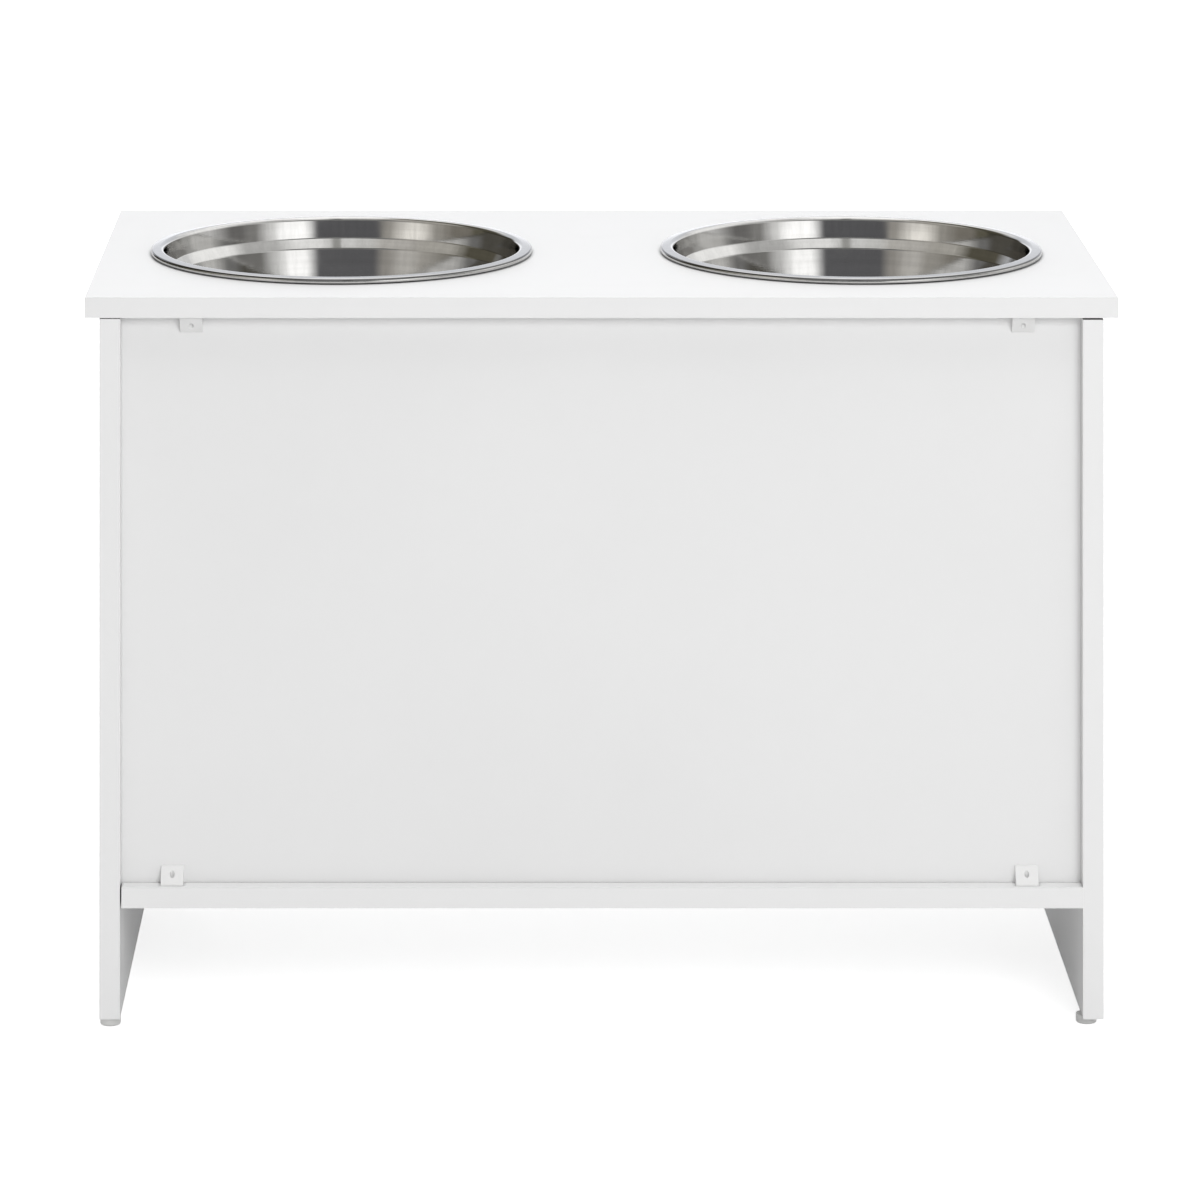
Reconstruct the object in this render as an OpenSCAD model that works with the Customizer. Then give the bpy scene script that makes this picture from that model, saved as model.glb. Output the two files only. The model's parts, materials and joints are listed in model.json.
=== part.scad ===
// Raised pet feeder: a flat-pack cabinet of white-faced boards with two drop-in steel bowls.
// The doors face -Y, the back faces +Y, and the floor is z = 0 under the middle of the object.

/* [Boards] */
// Width of the top board, left to right
top_w = 600; // [560:5:720]
// Depth of the top board, front to back
top_d = 315; // [290:5:380]
// Thickness of the top, the sides, the bottom board and the doors
board_t = 12; // [12:1:16]
// How far the top board stands out past each side panel
side_overhang = 8.5; // [4:0.5:20]
// How far the top board stands out past the doors
front_overhang = 8.5; // [4:0.5:20]
// Height of the side panels
side_h = 406.5; // [320:0.5:480]
// How much shorter the left side panel is cut than the right one
left_side_cut = 0.5; // [0:0.1:1]
// Height of the bottom board's underside above the lower ends of the side panels
bottom_rise = 64.5; // [45:0.5:100]
// Open seam between the right side panel and the top board
top_seam = 0.5; // [0.3:0.1:0.9]
// Play left at the right-hand end of the bottom board
bottom_play = 0.9; // [0.3:0.1:0.9]

/* [Back panel] */
// Thickness of the back panel
back_t = 3; // [2.5:0.5:5]
// How far its outer face lies in from the rear edges of the boards
back_recess = 11; // [10:0.5:16]
// Depth of the grooves that hold it
groove_depth = 4; // [3:0.5:6]
// Clearance on each side of the panel, and at its edges, in the grooves
groove_play = 0.4; // [0.1:0.05:0.6]

/* [Back wedges] */
// Width of a plastic wedge
wedge_w = 13; // [10:0.5:18]
// Height of a wedge where it lies on the back panel
wedge_h = 10; // [8:0.5:14]
// Depth of a wedge where it lies on a board
wedge_d = 8; // [7:0.5:9]
// Middle of the upper left wedge, in from the left side panel
upper_left_wedge_in = 34; // [15:1:90]
// Middle of the upper right wedge, in from the right side panel
upper_right_wedge_in = 41; // [15:1:90]
// Middle of the lower left wedge, in from the left side panel
lower_left_wedge_in = 32; // [15:1:90]
// Middle of the lower right wedge, in from the right side panel
lower_right_wedge_in = 30; // [15:1:90]

/* [Bowls] */
// Distance between the middles of the two bowls
bowl_pitch = 310; // [290:5:340]
// Outer radius of a bowl's rolled rim
rim_r = 116; // [105:0.5:120]
// Radius of the rolled bead at the rim
bead_r = 1.7; // [1.5:0.1:2.5]
// Width of the rim, from its outer edge to the bowl's inner wall
rim_w = 8.3; // [7:0.1:12]
// Slope at which the rim falls from the lip to the bead, in degrees
rim_fall = 6; // [0:1:12]
// Thickness of the bowl's sheet steel
sheet_t = 0.7; // [0.5:0.1:1]
// Depth of the bowl below the top of the bead
bowl_depth = 70; // [50:1:90]
// Depth below the top of the bead at which the upper wall turns in
shoulder_z = 12; // [9:0.5:20]
// How far the shoulder steps in
shoulder_in = 3.6; // [2:0.1:6]
// Slope of the shoulder from the vertical, in degrees
shoulder_slope = 30; // [20:1:45]
// Draft of the wall above the shoulder from the vertical, in degrees
upper_draft = 7; // [0:1:15]
// Draft of the wall below the shoulder from the vertical, in degrees
lower_draft = 10; // [3:1:15]
// Radius between the lower wall and the floor of the bowl
floor_radius = 18; // [10:1:30]
// Gap between the bowl's wall and the cut-out in the top board
cutout_gap = 1.2; // [0.6:0.1:2]

/* [Doors] */
// Gap above and below a door
door_gap = 2; // [1.5:0.1:4]
// Gap between the two doors
door_meeting = 3; // [2:0.1:5]
// Length of a knob, from the door's face
knob_len = 22; // [18:1:30]
// Radius of a knob's head
knob_r = 12.5; // [9:0.5:16]
// Radius of a knob's foot on the door
knob_foot_r = 7; // [5.5:0.5:9]
// Middle of a knob, in from the door's free edge
knob_in = 30; // [20:1:60]
// Middle of a knob, down from the door's top edge
knob_down = 60; // [30:5:150]

/* [Hinges] */
// Length of a hinge
hinge_len = 50; // [40:1:60]
// Thickness of a hinge leaf
leaf_t = 0.9; // [0.8:0.1:1.2]
// Width of a leaf, from the pin's axis
leaf_w = 13.5; // [12:0.5:14]
// Gap between the two leaves of a closed hinge
leaf_gap = 0.3; // [0.2:0.05:0.5]
// Outer radius of a hinge's knuckles
knuckle_r = 2.6; // [2.3:0.1:3.2]
// Radius of a hinge pin
pin_r = 1.25; // [1:0.05:1.4]
// Running clearance round a pin, and half that between knuckles
pin_play = 0.06; // [0.03:0.01:0.1]
// Middle of a hinge from the door's top or bottom edge
hinge_in = 50; // [35:1:80]

/* [Joints and fittings] */
// Middle of a cam fitting from a board's front or rear edge
cam_in = 45; // [40:1:65]
// Middle of a dowel from a board's front or rear edge
dowel_in = 80; // [75:1:110]
// Length of a cam bolt from the board's face to the middle of its cam
cam_reach = 24; // [22:0.5:30]
// Radius of a cam
cam_r = 7.4; // [6.5:0.1:8]
// Length of a dowel
dowel_len = 25; // [20:1:30]
// Radius of a dowel
dowel_r = 3; // [2.5:0.1:3.5]
// Height of a glide under a side panel
glide_h = 5; // [3:0.5:8]
// Radius of a glide
glide_r = 6; // [5:0.5:8]
// Middle of a front glide from the front edge of its side panel
front_glide_in = 10; // [8:0.5:30]
// Middle of the right rear glide from the rear edge
right_rear_glide_in = 8.5; // [8:0.5:30]
// Middle of the left rear glide from the rear edge
left_rear_glide_in = 12.5; // [8:0.5:30]
// How far the left rear glide was nailed in from the middle of its panel
left_rear_glide_stray = 2.9; // [0:0.1:4]
// Middle of a magnetic catch from the middle of the cabinet
catch_x = 36; // [30:1:45]

/* [Hidden] */

eps = 0.01; // a cut runs this far past a face
over = 1; // a through cut runs this far past each face
hole_play = 0.05; // between a fitting and the hole that holds it
hole_end = 0.5; // a blind hole runs this far past the end of its fitting
board_skin = 3.5; // board left past the end of a fitting
seat_play = 0.1; // between parts that meet face to face when a door is shut
round_fn = 48;
bowl_fn = 180;

left = -1;
right = 1;

// Planes of the cabinet. The knobs reach past the top board, so the boards sit a little to the rear.
knob_reach = max(0, knob_len - front_overhang);
rear_y = (top_d + knob_reach) / 2;
top_front_y = rear_y - top_d;
front_y = top_front_y + front_overhang;
bowl_y = (rear_y + top_front_y) / 2;
side_d = rear_y - front_y;
outer_x = top_w / 2 - side_overhang;
inner_x = outer_x - board_t;
side_z = glide_h;
side_top_z = side_z + side_h;
top_z = side_top_z + top_seam;
top_face_z = top_z + board_t;
bottom_z = side_z + bottom_rise;
floor_z = bottom_z + board_t;
back_y = rear_y - back_recess; // the back panel's outer face

// Fixing holes
bolt_thread_r = 2.5;
bolt_thread_len = board_t - board_skin;
bolt_collar_r = 3.2;
bolt_collar_h = 1.2;
bolt_shank_r = 2.2;
bolt_neck_r = 1.6;
bolt_head_r = 2.4;
bolt_head_h = 3;
bolt_hole_r = bolt_collar_r + hole_play;
bolt_neck_lead = 1.5; // the neck starts this far before the cam
cam_skin = 2.4; // board left under the hole for a cam
cam_under = 0.3; // the cam ends this far above the floor of its hole
cam_hole_depth = board_t - cam_skin;
cam_h = cam_hole_depth - cam_under;
cam_wall = 1.6;
cam_play = 0.3; // between a bolt's neck or head and its cam, above and below
cross_depth = 1.4;
dowel_sunk = board_t - board_skin; // in the board that the dowel stands up from
dowel_chamfer = 0.8;

// A bowl hangs on its bead, which rests on the top board.
wall_r = rim_r - rim_w + sheet_t / 2; // middle of the sheet in the upper wall
lip_r = 2.3; // where the rim turns down into the bowl
bend_r = 3; // where the shoulder meets the walls above and below
cutout_r = wall_r + sheet_t / 2 + cutout_gap;

// Doors and hinges, given for the right-hand side; the left side mirrors them.
axis_x = inner_x - leaf_t - leaf_gap / 2;
axis_y = front_y - knuckle_r - 0.1;
door_hinge_x = axis_x - leaf_gap / 2 - leaf_t; // the door's hinge edge
door_free_x = door_meeting / 2;
door_w = door_hinge_x - door_free_x;
door_z = floor_z + door_gap;
door_h = top_z - floor_z - 2 * door_gap;
door_back_y = front_y + board_t;
knuckles = 5;
knuckle_pitch = hinge_len / knuckles;
knuckle_gap = pin_play * 3;
hinge_screw_y = front_y + board_t / 2;
hinge_screw_r = 1.1;
hinge_screw_len = board_t - board_skin;
hinge_head_r = 2.1;
knob_x = door_free_x + knob_in;
knob_z = door_z + door_h - knob_down;
knob_screw_r = 2;
knob_screw_bite = 8;
knob_screw_head_r = 4;
knob_screw_head_h = 2.2;
knob_screw_crown = 1; // the head narrows by this much
knob_hole_play = 0.25; // round the knob's screw in the door

// A magnetic catch hangs under the top board and meets a strike plate on the door.
strike_t = 1.2;
strike_w = 30;
strike_h = 12;
catch_y = door_back_y + strike_t + seat_play; // front of the pole plates
catch_w = 24;
catch_ear = 9;
catch_d = 13;
catch_h = 11;
catch_base_t = 2.5;
pole_proud = 0.6; // the pole plates stand out of the housing
pole_t = 1.2;
magnet_t = 5;
magnet_w = 16;
magnet_d = 9;
magnet_back = 0.5; // the magnet lies this far behind the housing's front
magnet_drop = 0.6; // and this far below the middle of the housing
catch_mid_z = top_z - catch_h / 2 - magnet_drop;

// Positions front to back at which fittings repeat
function pair_y(inset) = [front_y + inset, rear_y - inset];

module on_side(side) {
  mirror([side == left ? 1 : 0, 0, 0])
    children();
}

// A board with its corner nearest the origin at p
module board(p, size) {
  translate(p)
    cube(size);
}

// A fitting turned from one outline of [radius, height] points
module turned(outline) {
  rotate_extrude($fn = round_fn)
    polygon(outline);
}

// ---- Fittings, each drawn about the place where it enters a board ----

// A countersunk screw that runs down -Z to its point, with its head flush at z = 0
module countersunk_screw(shank_r, head_r, head_h, length) {
  cross_w = 0.5;
  point_h = shank_r * 1.8;
  difference() {
    turned([[0, -length], [shank_r, point_h - length], [shank_r, -head_h], [head_r, 0], [0, 0]]);
    for (turn = [0, 90])
      rotate([0, 0, turn])
        translate([-head_r * 0.6, -cross_w / 2, -head_h * 0.5])
          cube([head_r * 1.2, cross_w, head_h]);
  }
}

// The hole for such a screw through a sheet of thickness t
module countersunk_hole(shank_r, head_r, head_h, t) {
  hole_r = shank_r + hole_play;
  wide_r = head_r + hole_play;
  turned([[0, -t - over], [hole_r, -t - over], [hole_r, -head_h], [wide_r, 0], [wide_r, over], [0, over]]);
}

// A cam bolt that is screwed into a board at z = 0 and stands up along +Z
module cam_bolt() {
  neck_z = cam_reach - cam_r - bolt_neck_lead;
  // the head's edge lies against the inside of the cam's wall
  head_z = cam_reach - sqrt(pow(cam_r - cam_wall, 2) - pow(bolt_head_r, 2)) + hole_play;
  turned([
    [0, -bolt_thread_len], [bolt_thread_r, -bolt_thread_len], [bolt_thread_r, 0],
    [bolt_collar_r, 0], [bolt_collar_r, bolt_collar_h], [bolt_shank_r, bolt_collar_h],
    [bolt_shank_r, neck_z], [bolt_neck_r, neck_z], [bolt_neck_r, head_z],
    [bolt_head_r, head_z], [bolt_head_r, head_z + bolt_head_h], [0, head_z + bolt_head_h]
  ]);
}

// The cuts for a cam bolt: its thread below z = 0, and its bore through the mating board above
module bolt_thread_hole() {
  translate([0, 0, -bolt_thread_len - hole_end])
    cylinder(r = bolt_thread_r + hole_play, h = bolt_thread_len + hole_end + over, $fn = round_fn);
}

module bolt_bore() {
  translate([0, 0, -over])
    cylinder(r = bolt_hole_r, h = cam_reach + over, $fn = round_fn);
}

// A cam with its slotted face at z = 0, let into a board along -Z. Its bolt comes in along +X.
module cam_lock() {
  bolt_z = -board_t / 2;
  slot_w = 2 * (bolt_neck_r + cam_play);
  hollow_h = 2 * (bolt_head_r + cam_play);
  cross_w = 1.4;
  difference() {
    translate([0, 0, -cam_h])
      cylinder(r = cam_r, h = cam_h, $fn = round_fn);
    translate([0, 0, bolt_z - hollow_h / 2])
      cylinder(r = cam_r - cam_wall, h = hollow_h, $fn = round_fn);
    translate([0, -slot_w / 2, bolt_z - slot_w / 2])
      cube([cam_r + over, slot_w, slot_w]);
    for (turn = [0, 90])
      rotate([0, 0, turn])
        translate([-cam_r * 0.6, -cross_w / 2, -cross_depth])
          cube([cam_r * 1.2, cross_w, cross_depth + over]);
  }
}

module cam_hole() {
  translate([0, 0, -cam_hole_depth])
    cylinder(r = cam_r + hole_play, h = cam_hole_depth + over, $fn = round_fn);
}

// Places for the fittings of one side, each moved with +Z out of the board that carries the bolt
module at_top_bolts() {
  for (y = pair_y(cam_in))
    translate([inner_x + board_t / 2, y, top_z])
      rotate([180, 0, 0])
        children();
}

module at_bottom_bolts() {
  for (y = pair_y(cam_in))
    translate([inner_x, y, bottom_z + board_t / 2])
      rotate([0, -90, 0])
        children();
}

module at_top_cams() {
  for (y = pair_y(cam_in))
    translate([inner_x, y, top_z - cam_reach])
      rotate([0, -90, 0])
        children();
}

module at_bottom_cams() {
  for (y = pair_y(cam_in))
    translate([inner_x - cam_reach, y, bottom_z])
      rotate([180, 0, 0])
        children();
}

module at_top_dowels() {
  for (y = pair_y(dowel_in))
    translate([inner_x + board_t / 2, y, top_z + dowel_sunk])
      rotate([180, 0, 0])
        children();
}

module at_bottom_dowels() {
  for (y = pair_y(dowel_in))
    translate([inner_x + dowel_sunk, y, bottom_z + board_t / 2])
      rotate([0, -90, 0])
        children();
}

module dowel() {
  end_r = dowel_r - dowel_chamfer;
  turned([
    [0, 0], [end_r, 0], [dowel_r, dowel_chamfer], [dowel_r, dowel_len - dowel_chamfer],
    [end_r, dowel_len], [0, dowel_len]
  ]);
}

module dowel_hole() {
  translate([0, 0, -hole_end])
    cylinder(r = dowel_r + hole_play, h = dowel_len + 2 * hole_end, $fn = round_fn);
}

// ---- Back panel, its grooves and its wedges ----

groove_y = back_y - back_t - groove_play;
groove_w = back_t + 2 * groove_play;

// One cut reaches into all four boards round the opening.
module back_groove() {
  translate([-inner_x - groove_depth, groove_y, floor_z - groove_depth])
    cube([2 * (inner_x + groove_depth), groove_w, top_z - floor_z + 2 * groove_depth]);
}

nail_r = 0.7;
nail_bite = board_t - board_skin;
nail_head_r = 1.2;
nail_head_h = 0.8;
nail_seat = 2; // plastic under the nail's head
nail_back = wedge_d * 0.5; // from the back panel
nail_room = 0.2; // round the nail's head
wedge_lip = 0.8; // the thin edges are blunt

// A wedge in the corner below z = 0 and behind y = 0, moved by at_wedge
module back_wedge() {
  difference() {
    rotate([90, 0, 90])
      translate([0, 0, -wedge_w / 2])
        linear_extrude(wedge_w)
          polygon([[0, 0], [wedge_d, 0], [wedge_d, wedge_lip], [wedge_lip, wedge_h], [0, wedge_h]]);
    translate([0, nail_back, -over])
      cylinder(r = nail_r + hole_play, h = wedge_h + 2 * over, $fn = round_fn);
    translate([0, nail_back, nail_seat])
      cylinder(r = nail_head_r + nail_room, h = wedge_h, $fn = round_fn);
  }
}

module wedge_nail() {
  translate([0, nail_back, 0])
    turned([
      [0, -nail_bite], [nail_r, -nail_bite], [nail_r, nail_seat],
      [nail_head_r, nail_seat], [nail_head_r, nail_seat + nail_head_h], [0, nail_seat + nail_head_h]
    ]);
}

module wedge_nail_hole() {
  translate([0, nail_back, -nail_bite - hole_end])
    cylinder(r = nail_r + hole_play, h = nail_bite + hole_end + over, $fn = round_fn);
}

module at_wedge(side, upper) {
  inset = upper
    ? (side == left ? upper_left_wedge_in : upper_right_wedge_in)
    : (side == left ? lower_left_wedge_in : lower_right_wedge_in);
  translate([side * (inner_x - inset), back_y, upper ? top_z : floor_z])
    mirror([0, 0, upper ? 1 : 0])
      children();
}

// ---- Boards ----

module top_panel() {
  color("whitesmoke")
    difference() {
      board([-top_w / 2, top_front_y, top_z], [top_w, top_d, board_t]);
      for (side = [left, right]) {
        translate([side * bowl_pitch / 2, bowl_y, top_z - over])
          cylinder(r = cutout_r, h = board_t + 2 * over, $fn = bowl_fn);
        on_side(side) {
          at_top_bolts()
            bolt_thread_hole();
          at_top_dowels()
            dowel_hole();
          at_catch_screws()
            catch_screw_hole();
        }
        at_wedge(side, true)
          wedge_nail_hole();
      }
      back_groove();
    }
}

module side_panel(side) {
  color("whitesmoke")
    on_side(side)
      difference() {
        board([inner_x, front_y, side_z], [board_t, side_d, side_h - (side == left ? left_side_cut : 0)]);
        at_top_bolts()
          bolt_bore();
        at_top_cams()
          cam_hole();
        at_top_dowels()
          dowel_hole();
        at_bottom_bolts()
          bolt_thread_hole();
        at_bottom_dowels()
          dowel_hole();
        at_hinges()
          side_screw_holes();
        at_glides(side)
          glide_nail_hole();
        back_groove();
      }
}

module bottom_panel() {
  color("whitesmoke")
    difference() {
      board([-inner_x, front_y, bottom_z], [2 * inner_x - bottom_play, side_d, board_t]);
      for (side = [left, right]) {
        on_side(side) {
          at_bottom_bolts()
            bolt_bore();
          at_bottom_cams()
            cam_hole();
          at_bottom_dowels()
            dowel_hole();
        }
        at_wedge(side, false)
          wedge_nail_hole();
      }
      back_groove();
    }
}

module back_panel() {
  reach = groove_depth - groove_play;
  color("white")
    board([-inner_x - reach, back_y - back_t, floor_z - reach],
      [2 * (inner_x + reach), back_t, top_z - floor_z + 2 * reach]);
}

module back_wedge_node(side, upper) {
  color("white")
    at_wedge(side, upper)
      back_wedge();
}

module back_wedge_nails() {
  color("silver")
    for (side = [left, right], upper = [true, false])
      at_wedge(side, upper)
        wedge_nail();
}

module wooden_dowels() {
  color("burlywood")
    for (side = [left, right])
      on_side(side) {
        at_top_dowels()
          dowel();
        at_bottom_dowels()
          dowel();
      }
}

module cam_bolts() {
  color("silver")
    for (side = [left, right])
      on_side(side) {
        at_top_bolts()
          cam_bolt();
        at_bottom_bolts()
          cam_bolt();
      }
}

module cam_locks() {
  color("darkgray")
    for (side = [left, right])
      on_side(side) {
        at_top_cams()
          cam_lock();
        at_bottom_cams()
          cam_lock();
      }
}

// ---- Glides ----

glide_nail_r = 0.9;
glide_nail_head_r = 2.4;
glide_nail_head_h = 0.8;
glide_nail_floor = 1.6; // plastic under the nail's head
glide_nail_bite = 11;
glide_edge_r = 1;

module at_glide(side, front) {
  rear_in = side == left ? left_rear_glide_in : right_rear_glide_in;
  stray = side == left && !front ? left_rear_glide_stray : 0;
  translate([inner_x + board_t / 2 - stray, front ? front_y + front_glide_in : rear_y - rear_in, 0])
    children();
}

module at_glides(side) {
  for (front = [true, false])
    at_glide(side, front)
      children();
}

// A round foot with a rounded lower edge, moulded round the head of its nail
module glide(side, front) {
  edge = glide_edge_r;
  color("gainsboro")
    on_side(side)
      at_glide(side, front)
        difference() {
          rotate_extrude($fn = round_fn)
            polygon(concat(
              [[0, 0]],
              [for (a = [-90 : 15 : 0]) [glide_r - edge + edge * cos(a), edge + edge * sin(a)]],
              [[glide_r, glide_h], [0, glide_h]]));
          translate([0, 0, glide_nail_floor])
            cylinder(r = glide_nail_head_r + hole_play, h = glide_nail_head_h + hole_play, $fn = round_fn);
          translate([0, 0, glide_nail_floor])
            cylinder(r = glide_nail_r + hole_play, h = glide_h, $fn = round_fn);
        }
}

module glide_nails() {
  color("silver")
    for (side = [left, right])
      on_side(side)
        at_glides(side)
          turned([
            [0, glide_nail_floor], [glide_nail_head_r, glide_nail_floor],
            [glide_nail_head_r, glide_nail_floor + glide_nail_head_h],
            [glide_nail_r, glide_nail_floor + glide_nail_head_h],
            [glide_nail_r, glide_h + glide_nail_bite], [0, glide_h + glide_nail_bite]
          ]);
}

module glide_nail_hole() {
  cylinder(r = glide_nail_r + hole_play, h = glide_h + glide_nail_bite + hole_end, $fn = round_fn);
}

// ---- Bowls ----

function arc(c, r, from, to, steps) =
  [for (i = [0 : steps]) let (a = from + (to - from) * i / steps) [c[0] + r * cos(a), c[1] + r * sin(a)]];

// One side of the bowl's sheet, s out from its middle: from the curl under the rim, over the rim,
// down the wall and its shoulder, to the middle of the floor. Heights are above the top board.
function bowl_side(s) =
  let (
    curl_r = bead_r - sheet_t / 2,
    curl_c = [rim_r - bead_r, bead_r],
    lip_x = wall_r + lip_r,
    // the straight stretch between the curl and the lip falls outward at rim_fall
    lip_z = bead_r + (curl_r - lip_r + (curl_c[0] - lip_x) * sin(rim_fall)) / cos(rim_fall),
    lip_c = [lip_x, lip_z],
    lip_end = [lip_c[0] - lip_r * cos(upper_draft), lip_c[1] + lip_r * sin(upper_draft)],
    slope = shoulder_slope,
    turn_z = 2 * bead_r - shoulder_z,
    turn_r = lip_end[0] - (lip_end[1] - turn_z) * tan(upper_draft),
    turn_c = [turn_r - bend_r * cos(upper_draft), turn_z + bend_r * sin(upper_draft)],
    // the shoulder runs at its slope until the wall has come in by shoulder_in
    bends_in = bend_r * (cos(upper_draft) + cos(lower_draft) - 2 * cos(slope)),
    run = max(0, (shoulder_in - bends_in) / sin(slope)),
    turn_end = [turn_c[0] + bend_r * cos(slope), turn_c[1] - bend_r * sin(slope)],
    slope_end = [turn_end[0] - run * sin(slope), turn_end[1] - run * cos(slope)],
    back_c = [slope_end[0] + bend_r * cos(slope), slope_end[1] - bend_r * sin(slope)],
    wall_top = [back_c[0] - bend_r * cos(lower_draft), back_c[1] + bend_r * sin(lower_draft)],
    floor_mid_z = 2 * bead_r - bowl_depth + sheet_t / 2,
    corner_z = floor_mid_z + floor_radius,
    corner_end_z = corner_z - floor_radius * sin(lower_draft),
    wall_foot_r = wall_top[0] - (wall_top[1] - corner_end_z) * tan(lower_draft),
    corner_c = [wall_foot_r - floor_radius * cos(lower_draft), corner_z]
  )
  concat(
    arc(curl_c, curl_r + s, -140, 90 - rim_fall, 9),
    arc(lip_c, lip_r + s, 90 - rim_fall, 180 - upper_draft, 4),
    arc(turn_c, bend_r - s, -upper_draft, -slope, 3),
    arc(back_c, bend_r + s, 180 - slope, 180 - lower_draft, 3),
    arc(corner_c, floor_radius - s, -lower_draft, -90, 6),
    [[0, floor_mid_z + s]]);

function reversed(list) = [for (i = [len(list) - 1 : -1 : 0]) list[i]];

module bowl(side) {
  color("silver")
    translate([side * bowl_pitch / 2, bowl_y, top_face_z])
      rotate_extrude($fn = bowl_fn)
        polygon(concat(bowl_side(sheet_t / 2), reversed(bowl_side(-sheet_t / 2))));
}

// ---- Hinges ----

module at_hinges() {
  for (z = [door_z + hinge_in, door_z + door_h - hinge_in])
    translate([0, 0, z])
      children();
}

hinge_screw_z = [-hinge_len * 0.34, 0, hinge_len * 0.34];

// Even knuckles belong to the side panel's leaf and odd ones to the door's.
module knuckle_stack(first) {
  for (i = [first : 2 : knuckles - 1])
    translate([0, 0, -hinge_len / 2 + i * knuckle_pitch + knuckle_gap / 2])
      children();
}

// A leaf whose outer face lies against +X, drawn about the pin's axis, with knuckles from the first given
module hinge_leaf(first) {
  knuckle_h = knuckle_pitch - knuckle_gap;
  leaf_x = leaf_gap / 2;
  plate_y = knuckle_r + 0.35; // clear of the other leaf's knuckles
  tongue_y = pin_r + pin_play + 0.2; // a tongue joins each knuckle to the leaf
  difference() {
    union() {
      translate([leaf_x, plate_y, -hinge_len / 2])
        cube([leaf_t, leaf_w - plate_y, hinge_len]);
      knuckle_stack(first) {
        cylinder(r = knuckle_r, h = knuckle_h, $fn = round_fn);
        translate([leaf_x, tongue_y, 0])
          cube([leaf_t, plate_y - tongue_y + eps, knuckle_h]);
      }
    }
    translate([0, 0, -hinge_len / 2 - over])
      cylinder(r = pin_r + pin_play, h = hinge_len + 2 * over, $fn = round_fn);
    for (z = hinge_screw_z)
      translate([leaf_x, hinge_screw_y - axis_y, z])
        rotate([0, -90, 0])
          countersunk_hole(hinge_screw_r, hinge_head_r, leaf_t, leaf_t);
  }
}

module side_leaf(side, upper) {
  color("lightgray")
    on_side(side)
      translate([axis_x, axis_y, hinge_z(upper)])
        hinge_leaf(0);
}

module door_leaf(side, upper) {
  color("lightgray")
    on_side(side)
      translate([axis_x, axis_y, hinge_z(upper)])
        mirror([1, 0, 0])
          hinge_leaf(1);
}

function hinge_z(upper) = upper ? door_z + door_h - hinge_in : door_z + hinge_in;

module hinge_pin(side, upper) {
  head_r = knuckle_r - 0.3;
  head_h = 0.9;
  color("silver")
    on_side(side)
      translate([axis_x, axis_y, hinge_z(upper) - hinge_len / 2])
        rotate_extrude($fn = round_fn)
          polygon([
            [0, 0], [pin_r, 0], [pin_r, hinge_len], [head_r, hinge_len],
            [head_r, hinge_len + head_h * 0.5], [head_r * 0.6, hinge_len + head_h], [0, hinge_len + head_h]
          ]);
}

module hinge_screw() {
  countersunk_screw(hinge_screw_r, hinge_head_r, leaf_t, hinge_screw_len + leaf_t);
}

// Screws run out through the side panel's leaf, and in through the door's.
module side_screws() {
  for (z = hinge_screw_z)
    translate([axis_x + leaf_gap / 2, hinge_screw_y, z])
      rotate([0, -90, 0])
        children();
}

module door_screws() {
  for (z = hinge_screw_z)
    translate([axis_x - leaf_gap / 2, hinge_screw_y, z])
      rotate([0, 90, 0])
        children();
}

module pilot_hole() {
  translate([0, 0, -hinge_screw_len - leaf_t - hole_end])
    cylinder(r = hinge_screw_r + hole_play, h = hinge_screw_len + leaf_t + hole_end, $fn = round_fn);
}

module side_screw_holes() {
  side_screws()
    pilot_hole();
}

module side_hinge_screws() {
  color("silver")
    for (side = [left, right])
      on_side(side)
        at_hinges()
          side_screws()
            hinge_screw();
}

module door_hinge_screws(side) {
  color("silver")
    on_side(side)
      at_hinges()
        door_screws()
          hinge_screw();
}

// ---- Doors, knobs and catches ----

module door(side) {
  color("whitesmoke")
    on_side(side)
      difference() {
        board([door_free_x, front_y, door_z], [door_w, board_t, door_h]);
        at_hinges()
          door_screws()
            pilot_hole();
        translate([knob_x, front_y - over, knob_z])
          rotate([-90, 0, 0])
            cylinder(r = knob_screw_r + knob_hole_play, h = board_t + 2 * over, $fn = round_fn);
        at_strike()
          strike_pilot_hole();
      }
}

// A turned knob on the door's face, with a threaded hole for its screw
module knob(side) {
  foot_h = 2.2;
  neck_r = 4.5;
  head_h = 8;
  crown = 1.6;
  brow = 2.4;
  cove_r = knob_len - head_h - foot_h;
  color("silver")
    on_side(side)
      translate([knob_x, front_y, knob_z])
        rotate([90, 0, 0])
          difference() {
            rotate_extrude($fn = 64)
              polygon(concat(
                [[0, 0], [knob_foot_r, 0], [knob_foot_r, foot_h - 0.8], [knob_foot_r - 0.8, foot_h]],
                [for (a = [0 : 10 : 60]) [neck_r + (1 - sin(a + 30)) * 2.4, foot_h + cove_r * a / 120]],
                [for (a = [-90 : 10 : -50]) [knob_r * 0.62 + knob_r * 0.38 * sin((a + 90) * 1.5),
                  knob_len - head_h + 2 * (1 - cos((a + 90) * 1.5))]],
                [for (a = [0 : 10 : 90])
                  [knob_r - brow + brow * cos(a), knob_len - crown - brow + brow * sin(a)]],
                [[knob_r * 0.4, knob_len - crown * 0.2], [0, knob_len]]));
            translate([0, 0, -over])
              cylinder(r = knob_screw_r + hole_play, h = knob_screw_bite + hole_end + over, $fn = round_fn);
          }
}

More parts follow.
